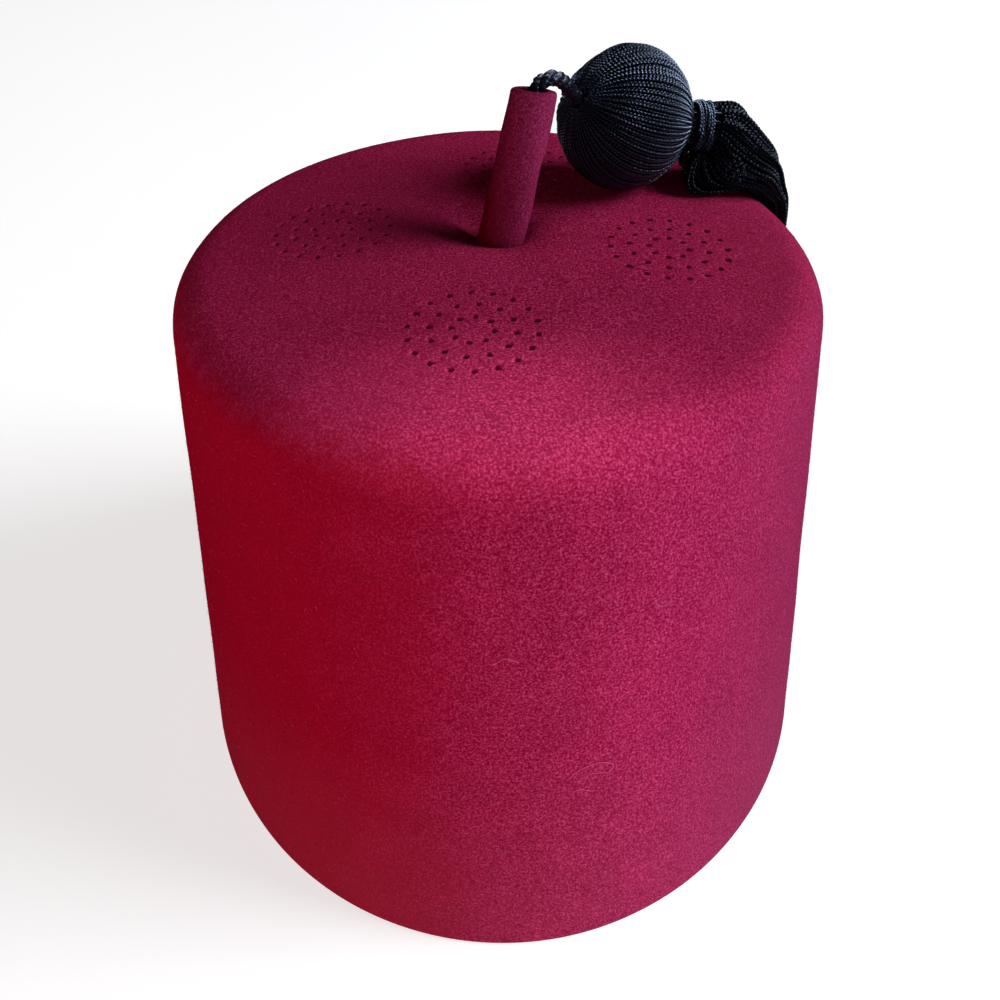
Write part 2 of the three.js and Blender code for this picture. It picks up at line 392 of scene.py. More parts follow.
def ragged(where, value, reach, scale, detail):
    """A value that noise moves up or down by half of the reach, for an edge that isn't a line."""
    return (noise(where, scale, detail, roughness=0.65) - 0.5) * reach + value


def on_top(where):
    level = ragged(where, split(where)[2], 0.014, 260.0, 4.0)
    return ramp(level, *TOP_EDGE, kind="SMOOTHSTEP")


def outside_left_shade(where):
    """Nought at the front left of the side, where shade is painted, with an uneven edge."""
    x, y, _ = split(where)
    edge = ramp(ragged(where, x, 0.050, 70.0, 5.0), -0.046, -0.002)
    return calc("MAXIMUM", edge, ramp(y, 0.01, 0.06, 0.0, 0.9))


def crown_lit_side(where):
    """Red where shade is painted, bluer to the right with painted sheen, and between the two on top."""
    side = ramp(split(where)[0], -0.045, 0.085, 0.08, 1.0) * outside_left_shade(where)
    return ramp(on_top(where), 0.0, 1.0, side, 0.55)


def crown_lit_grain(where):
    """Grain is strong where light is painted, weak where shade is, and weaker at the right and on top."""
    side = ramp(outside_left_shade(where), 0.0, 1.0, 0.45, 1.0) * ramp(split(where)[0], 0.02, 0.08, 1.0, 0.6)
    return calc("MAXIMUM", side, on_top(where) * 0.75)


def shoulder_highlight(where):
    """A painted highlight at the front of the shoulder, where the light falls most."""
    off = calc_vector("DIVIDE", calc_vector("SUBTRACT", where, HIGHLIGHT_MIDDLE), HIGHLIGHT_REACH)
    return ramp(calc_vector("LENGTH", off), 1.0, 0.0, kind="SMOOTHSTEP")


def crown_painted_light(where):
    """Paler under the painted highlight, and darker at the right side, where shade is painted."""
    painted_shade = ramp(split(where)[0], 0.035, 0.080, 0.0, 0.45) * (1.0 - on_top(where))
    return shoulder_highlight(where) * 1.1 + 1.0 - painted_shade


def crown_pale_sheen(where):
    """Painted pale sheen near the rim, at the right side and under the painted highlight."""
    x, _, z = split(where)
    low = ramp(z, 0.06, 0.005, 0.0, 0.05)
    right = ramp(x, 0.04, 0.085, 0.0, 0.045)
    return shoulder_highlight(where) * 0.06 + (low + right)


crown_felt = make_felt("crimson_felt", SHADED_FELT, LIT_FELT, crown_lit_side, crown_lit_grain, crown_painted_light, crown_pale_sheen, 0.5)
print("crown's felt:", crown_felt.name)

# %% Felt of the stalk
# Stalk colours where shade is painted on its left, then where light and sheen are painted on its right.
STALK_SHADED_FELT = ((0.060, 0.0002, 0.004), (0.085, 0.0004, 0.006), (0.13, 0.002, 0.014))
STALK_LIT_FELT = ((0.12, 0.004, 0.030), (0.21, 0.013, 0.066), (0.34, 0.042, 0.13))


def along_axis(axis, *limits):
    """A mask that runs from one value to another along an axis."""
    def mask(where):
        return ramp(split(where)["xyz".index(axis)], *limits)

    return mask


# The stalk's masks: painted light and sheen to the right, painted shade and a weaker grain to the left, and
# a little darker above the foot.
stalk_masks = {
    "lit_side": along_axis("x", -0.003, 0.010, 0.0, 0.9),
    "lit_grain": along_axis("x", -0.004, 0.004, 0.3, 1.0),
    "lift": along_axis("z", 0.136, 0.150, 1.0, 0.85),
    "pale_sheen": along_axis("x", 0.004, 0.012, 0.0, 0.02),
}
stalk_felt = make_felt("stalk_felt", STALK_SHADED_FELT, STALK_LIT_FELT, **stalk_masks, bump=0.7)
print("stalk's felt:", stalk_felt.name)

# %% [markdown]
# ## Crown
# The crown is blocked: wet felt is drawn over a form, so side, shoulder and top are one skin.
# It follows a rule, so Geometry Nodes make it. A profile of radius and height is swept round a
# circle, then each point is moved: the rim is drawn out to an oval, the top sinks in a dimple
# round the stalk with a crease behind its left side, where the leaning stalk pulls the felt, a
# long shallow dent crosses the side at the front right, and slow noise makes the rest uneven.
# The tree is run once on an object, and its result is kept as a plain mesh.

# %% Sizes of the crown
FELT = 0.0025
RIM_HALF_WIDTH = 0.088
RIM_HALF_LENGTH = 0.102
RIM_SOFTNESS = 0.0006
CROWN_RADIUS = 0.0775
CROWN_OVAL = 1.01
CROWN_HEIGHT = 0.1408
DOME_RADIUS = 0.575
SHOULDER = 0.011
HOLE_RADIUS = 0.0046
STALK_FOOT = np.array((-0.0004, 0.0025, 0.1338))
STALK_BOW = np.array((0.005, 0.0025, 0.155))
STALK_TOP = np.array((0.0085, 0.0042, 0.1733))


def dome_height(radius, inset=0.0):
    reach = DOME_RADIUS - inset
    return CROWN_HEIGHT - DOME_RADIUS + math.sqrt(reach * reach - radius * radius)


def crown_face(inset, wall_steps, shoulder_steps, top_steps):
    """Radius and height from the rim to the stalk's hole, on the outer face or one set in from it."""
    middle = CROWN_RADIUS - SHOULDER
    centre_gap = DOME_RADIUS - SHOULDER
    dome_turn = math.asin(middle / centre_gap)
    shoulder_height = CROWN_HEIGHT - DOME_RADIUS + centre_gap * math.cos(dome_turn)
    lean = math.atan2(RIM_HALF_WIDTH - CROWN_RADIUS, shoulder_height)
    bend = SHOULDER - inset
    foot = RIM_HALF_WIDTH - inset / math.cos(lean)
    wall_top = (middle + bend * math.cos(lean), shoulder_height + bend * math.sin(lean))
    rows = []
    for share in np.linspace(0.0, 1.0, wall_steps, endpoint=False):
        rows.append((foot + (wall_top[0] - foot) * share, wall_top[1] * share))
    for turn in np.linspace(lean, math.pi / 2 - dome_turn, shoulder_steps, endpoint=False):
        rows.append((middle + bend * math.cos(turn), shoulder_height + bend * math.sin(turn)))
    start = middle + bend * math.sin(dome_turn)
    for radius in np.linspace(start, HOLE_RADIUS, top_steps):
        rows.append((radius, dome_height(radius, inset)))
    return rows


def crown_profile():
    """The whole section of the felt as one closed line, with a softly cut rim."""
    outside = crown_face(0.0, 84, 16, 72)
    inside = crown_face(FELT, 30, 8, 26)
    outside[0] = (outside[0][0], RIM_SOFTNESS)
    inside[0] = (inside[0][0], RIM_SOFTNESS)
    rim = [(inside[0][0] + RIM_SOFTNESS, 0.0), (outside[0][0] - RIM_SOFTNESS, 0.0)]
    line = (outside + inside[::-1] + rim)[::-1]
    edges = [(row, (row + 1) % len(line)) for row in range(len(line))]
    return mesh_of("crown_profile", [(radius, height, 0.0) for radius, height in line], edges=edges)


profile = crown_profile()
print("crown profile has", len(profile.vertices), "points")

# %% Helpers for geometry trees
def geometry_tree(name, inputs):
    """A tree from one geometry to another, with a material and inputs of its own."""
    inputs = {"Geometry": "Geometry", **inputs, "Material": "Material"}
    return new_tree(name, "GeometryNodeTree", inputs, {"Geometry": "Geometry"})


def position(tree):
    return field(tree, "GeometryNodeInputPosition")


def moved(geometry, to):
    return field(tree_of(geometry), "GeometryNodeSetPosition", {"Geometry": geometry, "Position": to})


def keep(geometry, label, value, kind="FLOAT", domain="POINT"):
    sockets = {"Geometry": geometry, "Name": label, "Value": value}
    settings = {"data_type": kind, "domain": domain}
    return field(tree_of(geometry), "GeometryNodeStoreNamedAttribute", sockets, **settings)


def kept(tree, label, kind="FLOAT"):
    return field(tree, "GeometryNodeInputNamedAttribute", {"Name": label}, data_type=kind)


def smooth(geometry):
    return field(tree_of(geometry), "GeometryNodeSetShadeSmooth", {"Geometry": geometry})


def real(geometry):
    return field(tree_of(geometry), "GeometryNodeRealizeInstances", {"Geometry": geometry})


def end_tree(geometry, given, result):
    """Ends a geometry tree with real geometry in its material."""
    sockets = {"Geometry": real(geometry), "Material": given("Material")}
    give(result["Geometry"], field(tree_of(geometry), "GeometryNodeSetMaterial", sockets))


def grow(name, mesh, *steps):
    """Runs geometry trees on a mesh, one after another, and keeps the result as a plain piece."""
    piece = place(name, mesh)
    for tree, values in steps:
        modifier = piece.modifiers.new(tree.name, "NODES")
        modifier.node_group = tree
        for item in tree.interface.items_tree:
            if item.item_type == "SOCKET" and item.in_out == "INPUT" and item.name in values:
                modifier[item.identifier] = values[item.name]
    graph = bpy.context.evaluated_depsgraph_get()
    finished = bpy.data.meshes.new_from_object(piece.evaluated_get(graph), depsgraph=graph)
    piece.modifiers.clear()
    piece.data = finished
    finished.name = name
    return piece


print("geometry trees can be run")

# %% The blocked crown as a tree
CROWN_INPUTS = {
    "Sides": 264,
    "Height": CROWN_HEIGHT,
    "Rim Oval": RIM_HALF_LENGTH / RIM_HALF_WIDTH,
    "Top Oval": CROWN_OVAL,
    "Hole X": 0.0,
    "Hole Y": 0.0,
    "Dimple Depth": 0.0035,
    "Dimple Left": 0.015,
    "Dimple Right": 0.010,
    "Dimple Front": 0.009,
    "Dimple Back": 0.014,
    "Crease Depth": 0.0030,
    "Crease Turn": math.radians(137),
    "Crease Start": 0.004,
    "Crease Length": 0.018,
    "Crease Front": 0.0026,
    "Crease Back": 0.007,
    "Dent Depth": 0.0016,
    "Dent X": 0.045,
    "Dent Z": 0.060,
    "Dent Turn": math.radians(25),
    "Dent Half Width": 0.019,
    "Dent Reach": 0.045,
    "Unevenness": 0.0006,
}


def spread(offset, low_reach, high_reach):
    """Square of an offset over its reach, which may differ on the two sides."""
    below = calc("LESS_THAN", offset, 0.0)
    return (offset / ramp(below, 0.0, 1.0, high_reach, low_reach)) ** 2.0


def hollow(along, across, depth):
    return calc("EXPONENT", (along + across) * -1.0) * depth


def turned(one, other, angle):
    """How far a point lies along a line at an angle, and to the left of it."""
    cosine = calc("COSINE", angle)
    sine = calc("SINE", angle)
    return one * cosine + other * sine, other * cosine - one * sine


def make_blocking():
    tree, given, result = geometry_tree("blocked_crown", CROWN_INPUTS)
    section = field(tree, "GeometryNodeMeshToCurve", {"Mesh": given("Geometry")})
    section = keep(section, "section", position(tree), "FLOAT_VECTOR")
    circle = field(tree, "GeometryNodeCurvePrimitiveCircle", {"Resolution": given("Sides")})
    circle = keep(circle, "turn", field(tree, "GeometryNodeSplineParameter", output="Factor"))
    swept = field(tree, "GeometryNodeCurveToMesh", {"Curve": circle, "Profile Curve": section})

    radius, height, _ = split(kept(tree, "section", "FLOAT_VECTOR"))
    angle = kept(tree, "turn") * FULL_TURN
    oval = ramp(height / given("Height"), 0.0, 1.0, given("Rim Oval"), given("Top Oval"))
    shift = ramp(radius, 0.055, 0.010, kind="SMOOTHSTEP")
    x = shift * given("Hole X") + radius * calc("COSINE", angle)
    y = shift * given("Hole Y") + radius * oval * calc("SINE", angle)

    off_x = x - given("Hole X")
    off_y = y - given("Hole Y")
    along = spread(off_x, given("Dimple Left"), given("Dimple Right"))
    across = spread(off_y, given("Dimple Front"), given("Dimple Back"))
    dimple = hollow(along, across, given("Dimple Depth"))
    along, left = turned(off_x, off_y, given("Crease Turn"))
    along = spread(along, given("Crease Start"), given("Crease Length"))
    across = spread(left, given("Crease Back"), given("Crease Front"))
    crease = hollow(along, across, given("Crease Depth")) * ramp(radius, 0.060, 0.050)
    z = height - (dimple + crease)
    point = joined(tree, X=x, Y=y, Z=z)

    along, left = turned(x - given("Dent X"), z - given("Dent Z"), given("Dent Turn"))
    along = spread(along, given("Dent Reach"), given("Dent Reach"))
    across = spread(left, given("Dent Half Width"), given("Dent Half Width"))
    dent = hollow(along, across, given("Dent Depth")) * ramp(y, -0.02, -0.06)
    slow = (noise(point, 22.0, 1.0) - 0.5) * given("Unevenness")
    slow = slow * ramp(height, 0.0, 0.02, 0.4, 2.0) - dent
    outward = calc_vector("NORMALIZE", calc_vector("MULTIPLY", point, (1.0, 1.0, 0.0)))
    upward = ramp(radius, CROWN_RADIUS - SHOULDER, CROWN_RADIUS, 1.0, 0.0)
    sockets = {0: upward, 4: outward, 5: (0.0, 0.0, 1.0)}
    way = field(tree, "ShaderNodeMix", sockets, 1, data_type="VECTOR")
    shaped = moved(swept, calc_vector("ADD", point, scaled(way, slow)))
    end_tree(smooth(shaped), given, result)
    return tree


def hole_centre():
    """Where the leaning stalk passes through the dented top."""
    rise = STALK_BOW - STALK_FOOT
    level = CROWN_HEIGHT - FELT
    return STALK_FOOT[0] + (level - STALK_FOOT[2]) * rise[0] / rise[2], STALK_FOOT[1]


HOLE_X, HOLE_Y = hole_centre()
BLOCKING = make_blocking()
print("the stalk leaves the top at", round(HOLE_X / MM, 1), round(HOLE_Y / MM, 1), "mm")

# %% [markdown]
# ## Vents
# The top is pierced by rosettes of punched holes, three rings to a rosette, a quarter turn
# apart. Holes painted on would vanish from the side, so they are cut. A tree lays out the
# rings, copies the rosette round the top, drops each hole on the surface with a ray, stands a
# cutter there that flares at the mouth as soft felt does, and takes all the cutters away.

# %% Punched vents as a tree
VENT_RINGS = ((0.0046, 8), (0.0093, 12), (0.0139, 18))
CUTTER_LOW = -0.006
CUTTER_HIGH = 0.003
CUTTER_STEPS = 13
CUTTER_SIDES = 10
MOUTH_LOW = -0.0012
MOUTH_HIGH = 0.0003
VENT_INPUTS = {
    "Rosettes": 4,
    "Circle": 0.0403,
    "Turn": math.radians(-7.9),
    "Hole Radius": 0.0006,
    "Mouth Radius": 0.0008,
}
for number, (radius, holes) in enumerate(VENT_RINGS, 1):
    VENT_INPUTS[f"Ring {number} Radius"] = radius
    VENT_INPUTS[f"Ring {number} Holes"] = holes


def vent_centres(tree, given):
    rosette = add(tree, "GeometryNodeJoinGeometry")
    for number in range(1, len(VENT_RINGS) + 1):
        sockets = {"Vertices": given(f"Ring {number} Holes"), "Radius": given(f"Ring {number} Radius")}
        give(rosette.inputs[0], field(tree, "GeometryNodeMeshCircle", sockets))
    sockets = {"Vertices": given("Rosettes"), "Radius": given("Circle")}
    circle = field(tree, "GeometryNodeMeshCircle", sockets)
    spin = joined(tree, Z=given("Turn"))
    circle = field(tree, "GeometryNodeTransform", {"Geometry": circle, "Rotation": spin})
    number = field(tree, "GeometryNodeInputIndex")
    turn = number * (FULL_TURN / given("Rosettes")) + given("Turn") + math.pi / 2
    facing = field(tree, "FunctionNodeAxisAngleToRotation", {"Axis": (0, 0, 1), "Angle": turn})
    sockets = {"Points": circle, "Instance": Field(rosette.outputs[0]), "Rotation": facing}
    holes = real(field(tree, "GeometryNodeInstanceOnPoints", sockets))
    above = calc_vector("ADD", position(tree), (0, 0, CROWN_HEIGHT))
    ray = {"Target Geometry": given("Geometry"), "Source Position": above, "Ray Direction": (0, 0, -1)}
    return moved(holes, field(tree, "GeometryNodeRaycast", ray, "Hit Position"))


def vent_cutter(tree, given):
    ends = {"Start": (0, 0, CUTTER_LOW), "End": (0, 0, CUTTER_HIGH)}
    axis = field(tree, "GeometryNodeCurvePrimitiveLine", ends)
    axis = field(tree, "GeometryNodeResampleCurve", {"Curve": axis, "Count": CUTTER_STEPS})
    level = split(position(tree))[2]
    wide = ramp(level, MOUTH_LOW, MOUTH_HIGH, given("Hole Radius"), given("Mouth Radius"), "SMOOTHSTEP")
    round_hole = field(tree, "GeometryNodeCurvePrimitiveCircle", {"Resolution": CUTTER_SIDES, "Radius": 1.0})
    sockets = {"Curve": axis, "Profile Curve": round_hole, "Scale": wide, "Fill Caps": True}
    return field(tree, "GeometryNodeCurveToMesh", sockets)


def make_vents():
    tree, given, result = geometry_tree("punched_vents", VENT_INPUTS)
    sockets = {"Points": vent_centres(tree, given), "Instance": vent_cutter(tree, given)}
    cutters = real(field(tree, "GeometryNodeInstanceOnPoints", sockets))
    sockets = {"Mesh 1": given("Geometry"), "Mesh 2": cutters}
    settings = {"operation": "DIFFERENCE", "solver": "MANIFOLD"}
    pierced = field(tree, "GeometryNodeMeshBoolean", sockets, "Mesh", **settings)
    end_tree(smooth(pierced), given, result)
    return tree


VENTS = make_vents()
blocked = {"Hole X": HOLE_X, "Hole Y": HOLE_Y, "Material": crown_felt}
crown = grow("crown_felt", profile, (BLOCKING, blocked), (VENTS, {"Material": crown_felt}))
report(crown)

# %% [markdown]
# ## Stalk
# The stalk is a short felt tube that leans to the right, open at its cut end where the
# tassel's cord comes out. A curve with a bevel would give a plain pipe, so rings are lofted
# along its bowed axis instead: they swell at the foot, where the felt is drawn up to it, and
# the cut end is tilted back and rolled over into the bore.

# %% Stalk
STALK_RADIUS = 0.0055
STALK_BORE = 0.0026
STALK_LIP = 0.0006
STALK_TAPER = 0.0002
FOOT_FLARE = 0.0016
FOOT_REACH = 0.07
BORE_FLARE = 0.0009
STALK_SIDES = 64
CUT_BACK = math.radians(8)
CUT_RIGHT = math.radians(4.5)
CUT_FROM = 0.6
LIP_FROM = 0.975
BORE_FROM = 0.965


def stalk_middle(share):
    return (1 - share) ** 2 * STALK_FOOT + 2 * share * (1 - share) * STALK_BOW + share**2 * STALK_TOP


def stalk_way(share):
    return unit((1 - share) * (STALK_BOW - STALK_FOOT) + share * (STALK_TOP - STALK_BOW))


def stalk_ring(share, radius_at):
    middle = stalk_middle(share)
    way = stalk_way(share)
    across = unit(np.cross((0, 1, 0), way))
    along = np.cross(way, across)
    ring = []
    for side in range(STALK_SIDES):
        angle = FULL_TURN * side / STALK_SIDES
        radius = radius_at(angle, share)
        point = middle + radius * around(angle, across, along)
        tilt = math.cos(angle) * math.tan(CUT_RIGHT) - math.sin(angle) * math.tan(CUT_BACK)
        ring.append(point + radius * tilt * max(0.0, share - CUT_FROM) / (1 - CUT_FROM) * way)
    return np.array(ring)


def stalk_radius(angle, share):
    uneven = 0.00012 * math.sin(3 * angle + 9 * share) + 0.0001 * math.sin(2 * angle - 14 * share)
    foot = FOOT_FLARE * math.exp(-share / FOOT_REACH) * (0.6 + 0.4 * math.cos(angle + 0.9))
    return STALK_RADIUS - STALK_TAPER * share + uneven + foot


def make_stalk():
    rings = [stalk_ring(share, stalk_radius) for share in np.linspace(0.0, LIP_FROM, 60)]
    for turn in np.linspace(0.15, math.pi / 2, 6):
        share = LIP_FROM + (1 - LIP_FROM) * math.sin(turn)
        rings.append(stalk_ring(share, lambda a, s: stalk_radius(a, s) - STALK_LIP * (1 - math.cos(turn))))
    for turn in np.linspace(math.pi / 2, 0.1, 6)[1:]:
        share = BORE_FROM + (1 - BORE_FROM) * math.sin(turn)
        rings.append(stalk_ring(share, lambda a, s: STALK_BORE + BORE_FLARE * (1 - math.cos(turn))))
    for share in np.linspace(0.93, 0.6, 8):
        rings.append(stalk_ring(share, lambda a, s: STALK_BORE))
    return place("stalk_felt", loft("stalk_felt", rings), stalk_felt)


stalk = make_stalk()
report(stalk)

# %% [markdown]
# ## Nap
# Under a raking light felt shows loose fibres that stand off it, and they soften its edges.
# Hair particles would be lost on export, so a tree scatters points over the outer faces and
# puts a thin bent spike on each, turned at random and leaning over, with a tone of its own.

# %% Fibre material
FIBRE_TONES = ((0.0, (0.13, 0.001, 0.012, 1)), (0.6, (0.28, 0.006, 0.045, 1)), (1.0, (0.60, 0.10, 0.21, 1)))


def attribute(tree, name):
    return field(tree, "ShaderNodeAttribute", output="Fac", attribute_name=name)


def make_fibre():
    material, tree, shader = new_material("felt_fibre")
    colours = add(tree, "ShaderNodeValToRGB", {"Fac": attribute(tree, "tone")})
    stops = colours.color_ramp.elements
    stops.new(0.5)
    for stop, (place_on, colour) in zip(stops, FIBRE_TONES):
        stop.position = place_on
        stop.color = colour
    set_shader(shader, Base_Color=Field(colours.outputs[0]), Roughness=0.8, Specular_IOR_Level=0.1)
    return material


felt_fibre = make_fibre()
print("fibre material:", felt_fibre.name)

# %% Nap as a tree
NAP_INPUTS = {
    "Facing": (0, 0, 1),
    "Facing Limit": 0.0,
    "Most Upward": 2.0,
    "Inside": (0, 0, 0.06),
    "Lowest": 0.002,
    "Density": 400000.0,
    "Length": 0.0012,
    "Thickness": 0.00003,
    "Bend": 0.45,
    "Seed": 3,
}


def nap_zone(tree, given):
    """The outer faces that look the chosen way and are not too low."""
    def more(value, limit):
        return field(tree, "FunctionNodeCompare", {0: value, 1: limit}, operation="GREATER_THAN")

    def both(one, other):
        return field(tree, "FunctionNodeBooleanMath", {0: one, 1: other}, operation="AND")

    normal = field(tree, "GeometryNodeInputNormal")
    from_inside = calc_vector("SUBTRACT", position(tree), given("Inside"))
    outer = more(calc_vector("DOT_PRODUCT", normal, from_inside), 0.0)
    zone = more(calc_vector("DOT_PRODUCT", normal, given("Facing")), given("Facing Limit"))
    not_upward = more(given("Most Upward"), split(normal)[2])
    not_low = more(split(position(tree))[2], given("Lowest"))
    return both(both(outer, zone), both(not_upward, not_low))


def nap_fibre(tree, given):
    cone = {"Vertices": 3, "Side Segments": 2, "Radius Bottom": 1.0, "Radius Top": 0.0, "Depth": 1.0}
    spike = field(tree, "GeometryNodeMeshCone", cone)
    x, y, z = split(position(tree))
    thick = given("Thickness")
    long = given("Length")
    bent = z**2.0 * given("Bend") * long + x * thick
    return smooth(moved(spike, joined(tree, X=bent, Y=y * thick, Z=z * long)))


def make_nap():
    tree, given, result = geometry_tree("felt_nap", NAP_INPUTS)

    def chance(low, high, offset):
        sockets = {2: low, 3: high, "Seed": given("Seed") + offset}
        return field(tree, "FunctionNodeRandomValue", sockets, 1, data_type="FLOAT")

    def spun(axis, angle):
        return field(tree, "FunctionNodeAxisAngleToRotation", {"Axis": axis, "Angle": angle})

    def then(first, by):
        sockets = {"Rotation": first, "Rotate By": by}
        return field(tree, "FunctionNodeRotateRotation", sockets, rotation_space="LOCAL")

    sockets = {label: given(label) for label in ("Density", "Seed")}
    sockets.update({"Mesh": given("Geometry"), "Selection": nap_zone(tree, given)})
    scatter = add(tree, "GeometryNodeDistributePointsOnFaces", sockets)
    normal = Field(scatter.outputs["Normal"])
    upright = field(tree, "FunctionNodeAlignRotationToVector", {"Vector": normal}, axis="Z")
    way = then(upright, spun((0, 0, 1), chance(0.0, FULL_TURN, 1)))
    way = then(way, spun((0, 1, 0), chance(0.6, 1.5, 2)))
    size = joined(tree, X=1.0, Y=1.0, Z=chance(0.35, 1.15, 3) ** 1.6)
    points = Field(scatter.outputs["Points"])
    sockets = {"Points": points, "Instance": nap_fibre(tree, given), "Rotation": way, "Scale": size}
    fibres = field(tree, "GeometryNodeInstanceOnPoints", sockets)
    end_tree(keep(fibres, "tone", chance(0.0, 1.0, 4), domain="INSTANCE"), given, result)
    return tree


NAP = make_nap()
ALL_WAYS = {"Facing": (0, 0, 1), "Facing Limit": -2.0}
NAP_ZONES = (
    ("nap_front", crown, {"Facing": (0, -1, 0), "Most Upward": 0.75, "Seed": 11}),
    ("nap_back", crown, {"Facing": (0, 1, 0), "Most Upward": 0.75, "Seed": 23}),
    ("nap_top", crown, {"Facing": (0, 0, 1), "Facing Limit": 0.75, "Seed": 37}),
    ("nap_stalk", stalk, {**ALL_WAYS, "Inside": tuple(STALK_FOOT), "Lowest": 0.139, "Seed": 41}),
)
naps = [grow(name, ground.data, (NAP, {"Material": felt_fibre, **zone})) for name, ground, zone in NAP_ZONES]
report(*naps)

# %% [markdown]
# ## Thread
# The tassel is rayon: smooth bright filaments twisted into two-ply threads about a millimetre
# thick. Each bulge of the twist catches the light as a dot, so a smooth tube with a bump would
# look wrong at the outline. One tree makes every thread: it takes lines as guides, sets their
# tilt so that a flat section winds round them, and sweeps that section along.

# %% Thread finish, shared by the thread and the cord
THREAD_TINT = (0.50, 0.66, 1.0, 1)


def make_ply():
    tree, given, result = new_tree(
        "thread_ply",
        "ShaderNodeTree",
        {
            "Around": "Float",
            "Tone": 0.5,
            "Filaments": 9.0,
            "Dark Colour": (0.004, 0.005, 0.009, 1),
            "Bright Colour": (0.02, 0.024, 0.042, 1),
        },
        {"Colour": "Color", "Roughness": "Float", "Height": "Float"},
    )
    tone = given("Tone")
    turn = given("Around") * given("Filaments") * FULL_TURN
    give(result["Colour"], blend(tone, given("Dark Colour"), given("Bright Colour")))
    give(result["Roughness"], tone * 0.10 + 0.13)
    give(result["Height"], ramp(calc("SINE", turn), -1.0, 1.0))
    return tree


def make_thread(name, dark, bright, gloss):
    material, tree, shader = new_material(name)
    sockets = {label.title(): attribute(tree, label) for label in ("around", "tone")}
    sockets.update({"Dark Colour": (*dark, 1), "Bright Colour": (*bright, 1)})
    ply = add(tree, "ShaderNodeGroup", sockets, node_tree=THREAD_PLY)
    colour, roughness, height = (Field(socket) for socket in ply.outputs)
    normal = relief(height, 0.25, 0.00008)
    set_shader(shader, Base_Color=colour, Roughness=roughness, Normal=normal)
    set_shader(shader, Specular_IOR_Level=gloss, Specular_Tint=THREAD_TINT)
    return material


THREAD_PLY = make_ply()
tassel_thread = make_thread("tassel_thread", (0.0004, 0.0006, 0.0016), (0.0014, 0.0022, 0.006), 1.0)
fringe_thread = make_thread("fringe_thread", (0.0006, 0.0007, 0.0015), (0.002, 0.0025, 0.005), 0.30)
cord_thread = make_thread("cord_thread", (0.0015, 0.0015, 0.003), (0.006, 0.005, 0.010), 0.30)
print("thread materials:", tassel_thread.name, fringe_thread.name, cord_thread.name)

# %% Twisted thread as a tree
TWIST_INPUTS = {
    "Step": 0.0003,
    "Pitch": 0.0018,
    "Half Width": 0.00058,
    "Half Depth": 0.00022,
    "Sides": 6,
}


def make_twist():
    tree, given, result = geometry_tree("twisted_thread", TWIST_INPUTS)
    lines = field(tree, "GeometryNodeMeshToCurve", {"Mesh": given("Geometry")})
    sockets = {"Curve": lines, "Length": given("Step")}
    lines = field(tree, "GeometryNodeResampleCurve", sockets, mode="LENGTH")
    run = field(tree, "GeometryNodeSplineParameter", output="Length")
    turns = run / given("Pitch") + kept(tree, "thread_phase")
    lines = field(tree, "GeometryNodeSetCurveTilt", {"Curve": lines, "Tilt": turns * FULL_TURN})
    sockets = {"Resolution": given("Sides"), "Radius": 1.0}
    section = field(tree, "GeometryNodeCurvePrimitiveCircle", sockets)
    flat = joined(tree, X=given("Half Width"), Y=given("Half Depth"))
    section = moved(section, calc_vector("MULTIPLY", position(tree), flat))
    section = keep(section, "around", field(tree, "GeometryNodeSplineParameter", output="Factor"))
    thickness = kept(tree, "thickness")
    sockets = {"Curve": lines, "Profile Curve": section, "Scale": thickness, "Fill Caps": True}
    end_tree(smooth(field(tree, "GeometryNodeCurveToMesh", sockets)), given, result)
    return tree


def guides(name, strands):
    """Open lines as a mesh of edges. A strand gives its points, its tone and its thickness along it."""
    points = []
    edges = []
    values = {"tone": [], "thread_phase": [], "thickness": []}
    for strand in strands:
        start = len(points)
        count = len(strand["points"])
        points.extend(strand["points"])
        edges.extend((start + step, start + step + 1) for step in range(count - 1))
        values["tone"].extend([strand["tone"]] * count)
        values["thread_phase"].extend([strand["phase"]] * count)
        values["thickness"].extend(np.broadcast_to(strand.get("thickness", 1.0), count))
    mesh = mesh_of(name, points, edges=edges)
    for label, numbers in values.items():
        mesh.attributes.new(label, "FLOAT", "POINT").data.foreach_set("value", np.array(numbers, np.float32))
    return mesh


def through(points, steps):
    """A smooth curve through the points, with some steps between each two."""
    points = np.asarray(points, float)
    padded = np.vstack([2 * points[0] - points[1], points, 2 * points[-1] - points[-2]])
    out = []
    for start in range(len(points) - 1):
        before, here, there, after = padded[start : start + 4]
        for share in np.linspace(0.0, 1.0, steps, endpoint=False):
            out.append(
                here
                + 0.5 * share * (there - before)
                + share**2 * (before - 2.5 * here + 2 * there - 0.5 * after)
                + share**3 * (1.5 * (here - there) + 0.5 * (after - before))
            )
    return np.array(out + [points[-1]])


TWIST = make_twist()
chances = np.random.default_rng(7)
print("one tree twists every thread")

# %% [markdown]
# ## Tassel head
# The ball is a core covered with threads that run like meridians, from the pole where the cord
# enters to the binding on the other side. They lie in bundles that sway a little, with a dark
# valley between each two, and the ball isn't quite round. Where the threads crowd together near
# the poles every other one sinks below its neighbours, as a wound layer does.

